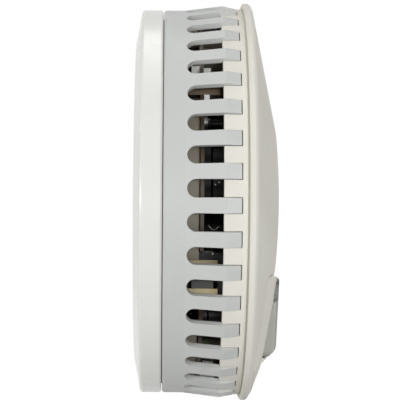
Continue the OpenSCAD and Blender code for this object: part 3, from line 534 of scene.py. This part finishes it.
@dataclass(kw_only=True)
class SubAssembly:
    """A group of pieces that is dressed and detailed together."""

    frame: dict
    palette: Palette
    # each CAD node of the group and its finish
    finishes: tuple[tuple[str, Finish], ...] = ()
    merge_distance: float = 0.001 * MM
    smooth_degrees: float = 35
    # steps between two places of a wire's route, and steps of a quarter of its outline
    wire_steps: tuple[int, int] = (6, 3)

    def build(self) -> None:
        """Dresses the CAD nodes of the group."""
        for node, finish in self.finishes:
            self.dress(node, finish)

    def dress(self, node: str, finish: Finish) -> None:
        """Gives a CAD node its finish through its object's material slots.

        Args:
            node: name of the CAD node.
            finish: finish that it gets.
        """
        material = self.palette.get(finish)
        for slot in self.frame["nodes"][node].material_slots:
            slot.link = "OBJECT"
            slot.material = material
        LOG.info("dressed %s in %s", node, material.name)

    def wire(self, route: list[Vector], radius: float) -> bpy.types.Object:
        """Draws a round wire as a curve with filled ends and makes it a mesh.

        Args:
            route: places that the wire passes, at least three.
            radius: radius of the wire.

        Returns:
            The wire as a mesh.
        """
        bpy.ops.object.select_all(action="DESELECT")
        bpy.ops.curve.primitive_bezier_curve_add(location=(0, 0, 0))
        curve = bpy.context.object.data
        points = curve.splines[0].bezier_points
        points.add(len(route) - len(points))
        for point, place in zip(points, route):
            point.co = place
            point.handle_left_type = point.handle_right_type = "AUTO"
        curve.dimensions, curve.bevel_depth, curve.use_fill_caps = "3D", radius, True
        curve.resolution_u, curve.bevel_resolution = self.wire_steps
        bpy.ops.object.convert(target="MESH")
        return bpy.context.object

    def seat(self, piece: bpy.types.Object, name: str, body: str, slot: str, finish: Finish) -> None:
        """Finishes a new piece: cleans its mesh, names it and lets it ride on its body.

        Args:
            piece: the modelled object.
            name: name that it gets.
            body: CAD body that it moves with.
            slot: record slot of its finish.
            finish: finish that it gets.
        """
        bpy.ops.object.select_all(action="DESELECT")
        piece.select_set(True)
        bpy.context.view_layer.objects.active = piece
        bpy.ops.object.transform_apply(location=True, rotation=True, scale=True)
        bpy.ops.object.mode_set(mode="EDIT")
        bpy.ops.mesh.select_all(action="SELECT")
        bpy.ops.mesh.remove_doubles(threshold=self.merge_distance)
        bpy.ops.mesh.normals_make_consistent(inside=False)
        bpy.ops.object.mode_set(mode="OBJECT")
        bpy.ops.object.shade_smooth_by_angle(angle=math.radians(self.smooth_degrees))
        piece.name = piece.data.name = name
        piece.data.materials.clear()
        piece.data.materials.append(self.palette.get(finish))
        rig.ride(piece, body)
        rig.slot(piece, slot)
        LOG.info("made %s: %d faces", name, len(piece.data.polygons))


# ---------- sub-assemblies ----------

@dataclass(kw_only=True)
class MountingPlate(SubAssembly):
    """White plate that is screwed to the wall."""

    finishes: tuple[tuple[str, Finish], ...] = (("mounting_plate", Finish.GLOSS_WHITE_ABS),)


@dataclass(kw_only=True)
class Housing(SubAssembly):
    """Grey rear housing with its ring of slots, the inlet at its back and the screws."""

    finishes: tuple[tuple[str, Finish], ...] = (
        ("rear_housing", Finish.GREY_ABS), ("power_socket", Finish.BLACK_MOULDING),
        ("power_pins", Finish.TINNED), ("cover_screws", Finish.ZINC),
    )


@dataclass(kw_only=True)
class FrontCover(SubAssembly):
    """Warm white cover with its status window and light guide, and the test button with what it works."""

    finishes: tuple[tuple[str, Finish], ...] = (
        ("front_cover", Finish.IVORY_ABS), ("status_window", Finish.SMOKED),
        ("light_guide", Finish.ACRYLIC), ("test_button", Finish.BUTTON_ABS),
        ("button_spring", Finish.SPRING_WIRE), ("switch_plunger", Finish.ACETAL),
    )


@dataclass(kw_only=True)
class BatteryPack(SubAssembly):
    """Side drawer with its two cells and their contacts."""

    finishes: tuple[tuple[str, Finish], ...] = (
        ("battery_drawer", Finish.GREY_ABS), ("battery_upper", Finish.JACKET),
        ("battery_lower", Finish.JACKET), ("cell_contacts", Finish.NICKEL), ("cell_bridge", Finish.NICKEL),
    )


@dataclass(kw_only=True)
class Electronics(SubAssembly):
    """Circuit board with what stands on it, its solder side, and the small metal that the slots show."""

    finishes: tuple[tuple[str, Finish], ...] = (
        ("circuit_board", Finish.LAMINATE), ("horn_body", Finish.BLACK_MOULDING),
        ("piezo_disc", Finish.BRASS), ("horn_gasket", Finish.FOAM), ("sensor_body", Finish.BLACK_MOULDING),
        ("sensor_cap", Finish.NICKEL), ("transformer_bobbin", Finish.BEIGE_NYLON),
        ("transformer_winding", Finish.DARK_TAPE), ("transformer_core", Finish.FERRITE),
        ("line_choke", Finish.BROWN_TAPE), ("control_chips", Finish.CHIP), ("capacitors", Finish.SLEEVE),
        ("film_capacitor", Finish.FILM), ("resistors", Finish.RESISTOR),
        ("board_header", Finish.WHITE_NYLON), ("board_clip", Finish.WHITE_NYLON),
        ("alarm_leds", Finish.LAMP), ("switch_body", Finish.BLACK_MOULDING), ("board_screws", Finish.ZINC),
    )
    placer: Placer
    # nodes with leads, and how far their joints stand from the node's middle, as a share of its size
    leaded: tuple[tuple[str, float], ...] = (
        ("film_capacitor", 0.30), ("switch_body", 0.36), ("sensor_body", 0.30), ("control_chips", 0.42),
        ("resistors", 0.30))
    joint_radius: float = 1.1 * MM
    joint_sides: int = 12
    # rise in millimetres and narrowing of each step of a joint, from the board to the lead's stub
    joint_steps: tuple[tuple[float, float], ...] = ((0.15, 0.86), (0.35, 0.62), (0.45, 0.70))
    stub: float = 0.8 * MM
    # x and z of the middles of the link wires, in millimetres
    link_places: tuple[tuple[float, float], ...] = ((8.0, -40.6), (13.5, -38.0), (-22.0, 30.0))
    link_radius: float = 0.9 * MM
    link_length: float = 9.0 * MM
    # how far a link wire's ends sink towards the board, as a share of its radius
    link_sink: float = 1.6
    # a link wire's route: shares of half its length along it, and of the sink of its ends
    link_route: tuple[tuple[float, float], ...] = (
        (-1.08, 1.0), (-1.0, 0.2), (-0.8, 0.0), (0.0, 0.0), (0.8, 0.0), (1.0, 0.2), (1.08, 1.0))
    lead_radius: float = 0.2 * MM
    # width, thickness and length of a tag, and its bevel and the bevel's steps
    tag: tuple[float, float, float] = (0.5 * MM, 0.3 * MM, 0.6 * MM)
    tag_edge: float = 0.12 * MM
    tag_edge_steps: int = 2

    def build(self) -> None:
        """Dresses the board's parts and models the small metal between them."""
        super().build()
        self.solder_joints()
        self.link_wires()
        for point in GLINTS:
            self.tag_at(point)
        self.horn_lead()

    def solder_joints(self) -> None:
        """Models one joint on the board's back and copies it under the parts with leads."""
        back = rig.box("circuit_board")[1].y
        first = self.solder_joint(Vector((0, back, 0)))
        places = []
        for node, spread in self.leaded:
            low, high = (Vector(c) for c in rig.box(node))
            middle, size = (low + high) / 2, high - low
            places += [Vector((middle.x + i * spread * size.x, 0, middle.z + j * spread * size.z))
                       for i in (-1, 1) for j in (-1, 1)]
        for number, place in enumerate(places, 1):
            joint = first.copy()
            joint.data = first.data.copy()
            bpy.context.scene.collection.objects.link(joint)
            joint.location = place
            self.seat(joint, f"solder_joint_{number:02d}", "alarm", "tinned_brass", Finish.SOLDER)
        bpy.data.objects.remove(first)

    def solder_joint(self, foot: Vector) -> bpy.types.Object:
        """Draws the hollow cone of solder up out of a disc and ends it in the lead's stub.

        Args:
            foot: middle of the joint on the board's back.

        Returns:
            The joint, pointing to the wall.
        """
        bpy.ops.object.select_all(action="DESELECT")
        bpy.ops.mesh.primitive_circle_add(vertices=self.joint_sides, radius=self.joint_radius,
                                          fill_type="NGON", location=foot, rotation=(-math.pi / 2, 0, 0))
        bpy.ops.object.transform_apply(location=True, rotation=True)
        bpy.ops.object.mode_set(mode="EDIT")
        bpy.ops.mesh.select_all(action="SELECT")
        for rise, narrow in self.joint_steps:
            bpy.ops.mesh.extrude_region_move(TRANSFORM_OT_translate={"value": (0, rise * MM, 0)})
            bpy.ops.transform.resize(value=(narrow, 1, narrow), center_override=foot)
        bpy.ops.mesh.extrude_region_move(TRANSFORM_OT_translate={"value": (0, self.stub, 0)})
        bpy.ops.object.mode_set(mode="OBJECT")
        return bpy.context.object

    def link_wires(self) -> None:
        """Lays sleeved link wires on the board's back, their ends bent into it."""
        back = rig.box("circuit_board")[1].y + self.link_radius
        sink = self.link_radius * self.link_sink
        half = self.link_length / 2
        for number, (x, z) in enumerate(self.link_places, 1):
            middle = Vector((x * MM, back, z * MM))
            route = [middle + Vector((0, -down * sink, along * half)) for along, down in self.link_route]
            link = self.wire(route, self.link_radius)
            self.seat(link, f"link_wire_{number}", "alarm", "black_plastic", Finish.SLEEVED_WIRE)

    def tag_at(self, point: ImagePoint) -> None:
        """Lays a small bevelled tag on the surface that an image point looks at.

        Args:
            point: the image point, which names the tag.
        """
        place, normal = self.placer.place(point.x, point.y)
        turn = normal.to_track_quat("Z", "Y").to_euler()
        width, thickness, length = self.tag
        bpy.ops.object.select_all(action="DESELECT")
        bpy.ops.mesh.primitive_cube_add(size=1, location=place + normal * thickness / 2, rotation=turn)
        tag = bpy.context.object
        tag.scale = (length, width, thickness)
        bpy.ops.object.transform_apply(location=False, rotation=False, scale=True)
        bpy.ops.object.mode_set(mode="EDIT")
        bpy.ops.mesh.select_all(action="SELECT")
        bpy.ops.mesh.bevel(offset=self.tag_edge, segments=self.tag_edge_steps)
        bpy.ops.object.mode_set(mode="OBJECT")
        self.seat(tag, point.nodes[0], "alarm", "tinned_brass", Finish.TINNED)

    def horn_lead(self) -> None:
        """Bends the horn's lead from the surface out to just in front of it and back."""
        ends = [self.placer.place(point.x, point.y)[0] for point in HORN_LEAD]
        eye = Vector(self.placer.camera.location)
        reach = min((end - eye).length for end in ends) - 2 * self.lead_radius
        loop = [eye + self.placer.camera.ray(point.x, point.y) * reach for point in HORN_LEAD]
        lead = self.wire([ends[0], *loop, ends[-1]], self.lead_radius)
        self.seat(lead, "horn_lead", "alarm", "tinned_brass", Finish.TINNED)


# ---------- camera ----------

@dataclass(frozen=True)
class PhotoCamera:
    """Camera at the photograph's place, found from the ring of slots."""

    location: tuple[float, float, float] = (-0.52708, -0.01026, -0.03261)
    aim: tuple[float, float, float] = (0.0, -0.02427, -0.00065)
    roll_degrees: float = 0.314
    lens: float = 129.23
    sensor_width: float = 36.0
    clip: tuple[float, float] = (0.01, 10.0)

    def axes(self) -> Matrix:
        """Turns the camera to its aim and rolls it about its own axis.

        Returns:
            The camera's turn.
        """
        forward = (Vector(self.aim) - Vector(self.location)).normalized()
        right = forward.cross(Vector((0, 0, 1))).normalized()
        up = right.cross(forward)
        roll = math.radians(self.roll_degrees)
        turned_right = math.cos(roll) * right + math.sin(roll) * up
        turned_up = math.cos(roll) * up - math.sin(roll) * right
        return Matrix((turned_right, turned_up, -forward)).transposed()

    def build(self) -> None:
        """Makes the camera and hands it to the scene."""
        data = bpy.data.cameras.new("camera")
        data.lens, data.sensor_width, data.sensor_fit = self.lens, self.sensor_width, "AUTO"
        data.clip_start, data.clip_end = self.clip
        camera = bpy.data.objects.new("camera", data)
        bpy.context.scene.collection.objects.link(camera)
        camera.matrix_world = Matrix.Translation(self.location) @ self.axes().to_4x4()
        bpy.context.scene.camera = camera

    def ray(self, x: float, y: float) -> Vector:
        """Finds the ray through an image point.

        Args:
            x: image point across.
            y: image point down.

        Returns:
            The ray's direction.
        """
        side = PHOTO_SIDE
        local = Vector((x - side / 2, side / 2 - y, -side * self.lens / self.sensor_width))
        return (self.axes() @ local).normalized()

    def project(self, point: Vector) -> tuple[float, float]:
        """Finds where a place shows in the picture.

        Args:
            point: the place.

        Returns:
            Its image point, across and down.
        """
        local = self.axes().transposed() @ (point - Vector(self.location))
        scale = PHOTO_SIDE * self.lens / self.sensor_width / -local.z
        return PHOTO_SIDE / 2 + local.x * scale, PHOTO_SIDE / 2 - local.y * scale


# ---------- image points ----------

class Side(Enum):
    """What is looked for in the picture: an edge on one side, a piece's middle or its nearest place.

    An edge's value gives the axis that it is measured on and the way in which it is the last.
    """

    LEFT = (0, -1)
    RIGHT = (0, 1)
    TOP = (1, -1)
    BOTTOM = (1, 1)
    MIDDLE = (None, 0)
    NEAREST = (None, 1)


@dataclass(frozen=True)
class ImagePoint:
    """A feature in the photograph's frame, the nodes that show it and how far from it they are sought."""

    name: str
    x: float
    y: float
    nodes: tuple[str, ...]
    side: Side
    across: float = 4.0
    along: float = 7.0


IMAGE_POINTS = (
    ImagePoint("left edge of the flat back", 133.2, 203.0, ("mounting_plate",), Side.LEFT, 60, 8),
    ImagePoint("top of the flange", 245.0, 5.5, ("front_cover",), Side.TOP, 8, 12),
    ImagePoint("bottom of the flange", 243.0, 400.0, ("front_cover",), Side.BOTTOM, 8, 12),
    ImagePoint("right edge of the button's rim", 278.7, 286.0, ("front_cover", "status_window"), Side.RIGHT, 6, 12),
    ImagePoint("seam at mid height", 162.2, 200.0, ("rear_housing",), Side.LEFT, 6, 8),
    ImagePoint("seam near the top", 163.0, 40.0, ("rear_housing",), Side.LEFT, 6, 8),
    ImagePoint("seam near the bottom", 160.0, 370.0, ("rear_housing",), Side.LEFT, 6, 8),
    ImagePoint("start of the middle slot", 186.7, 188.3, ("rear_housing",), Side.LEFT, 4, 6),
    ImagePoint("start of the second slot", 187.2, 28.6, ("rear_housing",), Side.LEFT, 3, 6),
    ImagePoint("start of the fifteenth slot", 183.4, 379.3, ("rear_housing",), Side.LEFT, 3, 6),
    ImagePoint("flange front edge at mid height", 258.0, 190.0, ("front_cover",), Side.RIGHT, 6, 4),
    ImagePoint("flank below the button", 261.7, 364.0, ("front_cover",), Side.RIGHT, 5, 1.5),
)
# small metal that glints in slots 8 to 10: two tags, the core's clip and the horn's bent lead
GLINTS = (
    ImagePoint("glint on the horn's front tag", 219.3, 182.2, ("horn_tag_1",), Side.MIDDLE, 6, 6),
    ImagePoint("glint on the horn's rear tag", 215.4, 184.6, ("horn_tag_2",), Side.MIDDLE, 6, 6),
    ImagePoint("glint beside the transformer", 212.6, 254.0, ("core_clip",), Side.MIDDLE, 6, 6),
)
GLINT_CARRIERS = ("horn_body", "circuit_board", "transformer_winding", "transformer_core")
HORN_LEAD = (
    ImagePoint("upper end of the horn's lead", 208.0, 224.6, ("horn_lead",), Side.NEAREST, 6, 6),
    ImagePoint("bend of the horn's lead", 213.6, 229.8, ("horn_lead",), Side.NEAREST, 6, 6),
    ImagePoint("lower end of the horn's lead", 219.6, 225.8, ("horn_lead",), Side.NEAREST, 6, 6),
)


class Placer:
    """Finds the place on the shown surface that an image point looks at.

    After a miss, the ray is searched from near to far in a number of steps.
    """

    near: float = 0.35
    far: float = 0.75
    steps: int = 200

    def __init__(self, camera: PhotoCamera, carriers: list[bpy.types.Object]) -> None:
        """Gathers the carriers' meshes into one tree.

        Args:
            camera: the photograph's camera.
            carriers: objects that may carry a piece.
        """
        self.camera = camera
        vertices: list[Vector] = []
        faces: list[tuple[int, ...]] = []
        for item in carriers:
            start = len(vertices)
            vertices += [item.matrix_world @ v.co for v in item.data.vertices]
            faces += [tuple(start + v for v in f.vertices) for f in item.data.polygons]
        self.tree = BVHTree.FromPolygons(vertices, faces)

    def place(self, x: float, y: float) -> tuple[Vector, Vector]:
        """Meets the carriers with the ray through an image point.

        Args:
            x: image point across.
            y: image point down.

        Returns:
            The place and the surface's normal there; on a miss, those nearest to the ray.
        """
        origin, way = Vector(self.camera.location), self.camera.ray(x, y)
        point, normal, _, _ = self.tree.ray_cast(origin, way)
        if point is None:
            reach = [self.near + (self.far - self.near) * i / self.steps for i in range(self.steps + 1)]
            point, normal, _, _ = min((self.tree.find_nearest(origin + way * r) for r in reach),
                                      key=lambda found: found[3])
        return point, normal


class Sightings:
    """Finds where features show in the picture and how far they are off their image points."""

    merge_distance: float = 0.002 * MM
    sharp_degrees: float = 8
    # spacing of the places looked at along an edge, and how far before an edge its own faces may hide it
    spacing: float = 0.4 * MM
    clearance: float = 0.3 * MM

    def __init__(self, camera: PhotoCamera, shown: list[bpy.types.Object]) -> None:
        """Gathers the shown meshes into one tree for the sight test.

        Args:
            camera: the photograph's camera.
            shown: objects that are seen.
        """
        self.camera = camera
        vertices: list[Vector] = []
        faces: list[tuple[int, ...]] = []
        self.edges: dict[str, list[tuple[Vector, Vector]]] = {}
        for item in shown:
            mesh = bmesh.new()
            mesh.from_mesh(item.data)
            bmesh.ops.remove_doubles(mesh, verts=mesh.verts, dist=self.merge_distance)
            start = len(vertices)
            mesh.verts.index_update()
            vertices += [item.matrix_world @ v.co for v in mesh.verts]
            faces += [tuple(start + v.index for v in f.verts) for f in mesh.faces]
            sharp = [e for e in mesh.edges
                     if len(e.link_faces) != 2 or e.calc_face_angle(0.0) > math.radians(self.sharp_degrees)]
            self.edges[item.name] = [tuple(item.matrix_world @ v.co for v in e.verts) for e in sharp]
            mesh.free()
        self.tree = BVHTree.FromPolygons(vertices, faces)

    def visible(self, point: Vector) -> bool:
        """Tells if nothing stands between the camera and a place.

        Args:
            point: the place.

        Returns:
            Whether it shows.
        """
        origin = Vector(self.camera.location)
        way = point - origin
        hit = self.tree.ray_cast(origin, way.normalized(), way.length - self.clearance)
        return hit[0] is None

    def sight(self, feature: ImagePoint) -> tuple[float, float] | None:
        """Looks for a feature near its image point.

        Args:
            feature: the image point.

        Returns:
            Where the feature shows, or None where nothing of it is near.
        """
        axis, sign = feature.side.value
        reach = (feature.along, feature.across) if axis == 1 else (feature.across, feature.along)
        seen: list[tuple[float, float]] = []
        for node in feature.nodes:
            for a, b in self.edges[node]:
                steps = max(1, int((b - a).length / self.spacing))
                for i in range(steps + 1):
                    place = a.lerp(b, i / steps)
                    x, y = self.camera.project(place)
                    near = abs(x - feature.x) <= reach[0] and abs(y - feature.y) <= reach[1]
                    if near and self.visible(place):
                        seen.append((x, y))
        if not seen:
            return None
        if feature.side is Side.MIDDLE:
            return tuple((min(p[k] for p in seen) + max(p[k] for p in seen)) / 2 for k in (0, 1))
        if feature.side is Side.NEAREST:
            return min(seen, key=lambda p: math.hypot(p[0] - feature.x, p[1] - feature.y))
        return max(seen, key=lambda p: sign * p[axis])

    def report(self, path: str) -> None:
        """Writes how far each feature shows from its point.

        Args:
            path: file to write.
        """
        offsets = {}
        for feature in (*IMAGE_POINTS, *GLINTS, *HORN_LEAD):
            seen = self.sight(feature)
            axis = feature.side.value[0]
            offset = None if seen is None else [
                round(seen[k] - (feature.x, feature.y)[k], 2) if axis in (k, None) else None for k in (0, 1)]
            offsets[feature.name] = offset
            LOG.info("point %s: %s", feature.name, offset)
        with open(path, "w") as handle:
            json.dump(offsets, handle, indent=1)


# ---------- studio ----------

@dataclass(frozen=True)
class SoftBox:
    """One soft lamp."""

    name: str
    location: tuple[float, float, float]
    size: tuple[float, float]
    power: float
    aim: tuple[float, float, float] = (0.0, -0.025, 0.0)

    def build(self) -> None:
        """Makes the lamp, turned to the middle of the alarm."""
        data = bpy.data.lights.new(self.name, "AREA")
        data.shape, (data.size, data.size_y) = "RECTANGLE", self.size
        data.energy = self.power
        lamp = bpy.data.objects.new(self.name, data)
        bpy.context.scene.collection.objects.link(lamp)
        lamp.location = self.location
        back = Vector(self.location) - Vector(self.aim)
        lamp.rotation_euler = back.to_track_quat("Z", "Y").to_euler()


@dataclass
class Studio:
    """Pale floor, white surroundings and soft lamps."""

    floor_z: float = -0.10
    floor_half: float = 3.0
    # strength of the white surroundings as light on the alarm; they are seen at 1
    surround: float = 0.36
    floor_colour: str = "#dcdcdc"
    floor_roughness: float = 0.9
    # light that the floor adds where it is seen, so that it shows white and still keeps the shadow
    floor_lift: float = 0.67
    lamps: tuple[SoftBox, ...] = (
        SoftBox("front quarter softbox", (-1.4, -0.6, 0.0), (0.8, 0.15), 6.7),
        SoftBox("low strip beside the wall", (-1.0, 1.1, 0.0), (1.2, 0.15), 7.8),
        SoftBox("overhead strip", (-0.03, -0.03, 1.1), (0.13, 1.0), 2.1),
    )

    def build(self) -> None:
        """Makes the floor, the world and the lamps."""
        self.floor()
        self.world()
        for lamp in self.lamps:
            lamp.build()
        bpy.context.scene.view_settings.view_transform = "Standard"

    def floor(self) -> None:
        """Makes the floor: pale to the camera, and it keeps the shadow."""
        bpy.ops.object.select_all(action="DESELECT")
        bpy.ops.mesh.primitive_plane_add(size=2 * self.floor_half, location=(0, 0, self.floor_z))
        floor = bpy.context.object
        floor.name = "floor"
        bpy.ops.object.transform_apply(location=True)
        material, tree, _ = blank("pale floor")
        lift = add_node(tree, "Math", {"operation": "MULTIPLY"}, {0: seen_ray(tree), 1: self.floor_lift})
        shader = add_node(tree, "BsdfPrincipled", inputs={
            "Base Color": linear(self.floor_colour), "Roughness": self.floor_roughness,
            "Emission Color": WHITE, "Emission Strength": lift.outputs[0]})
        add_node(tree, "OutputMaterial", inputs={"Surface": shader.outputs["BSDF"]})
        floor.data.materials.append(material)
        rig.stage(floor)

    def world(self) -> None:
        """Makes the surroundings: white where they are seen, and an even light on the alarm."""
        world = bpy.data.worlds.new("surroundings")
        world.use_nodes = True
        tree = world.node_tree
        tree.nodes.clear()
        strength = add_node(tree, "MapRange", inputs={
            "Value": seen_ray(tree), "To Min": self.surround, "To Max": 1.0})
        back = add_node(tree, "Background", inputs={"Color": WHITE, "Strength": strength.outputs["Result"]})
        add_node(tree, "OutputWorld", inputs={"Surface": back.outputs["Background"]})
        bpy.context.scene.world = world


def write_sizes(path: str, cad: tuple[Vector, Vector], visual: tuple[Vector, Vector]) -> None:
    """Writes the boxes of the CAD model and of the visual model.

    Args:
        path: file to write.
        cad: lowest and highest corner after loading.
        visual: lowest and highest corner at the end.
    """
    boxes = {"cad": [list(c) for c in cad], "visual": [list(c) for c in visual]}
    with open(path, "w") as handle:
        json.dump(boxes, handle, indent=1)


def main() -> None:
    """Builds the alarm's looks, the camera and the studio."""
    logging.basicConfig(level=logging.INFO, format="%(name)s: %(message)s")
    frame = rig.load()
    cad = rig.bounds()
    camera = PhotoCamera()
    camera.build()
    palette = Palette()
    for part in (MountingPlate, Housing, FrontCover, BatteryPack):
        part(frame=frame, palette=palette).build()
    carriers = [frame["nodes"][node] for node in GLINT_CARRIERS]
    Electronics(frame=frame, palette=palette, placer=Placer(camera, carriers)).build()
    Studio().build()
    Sightings(camera, [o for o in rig.pieces() if o.type == "MESH"]).report("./points.json")
    write_sizes("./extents.json", cad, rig.bounds())


if __name__ == "__main__":
    main()
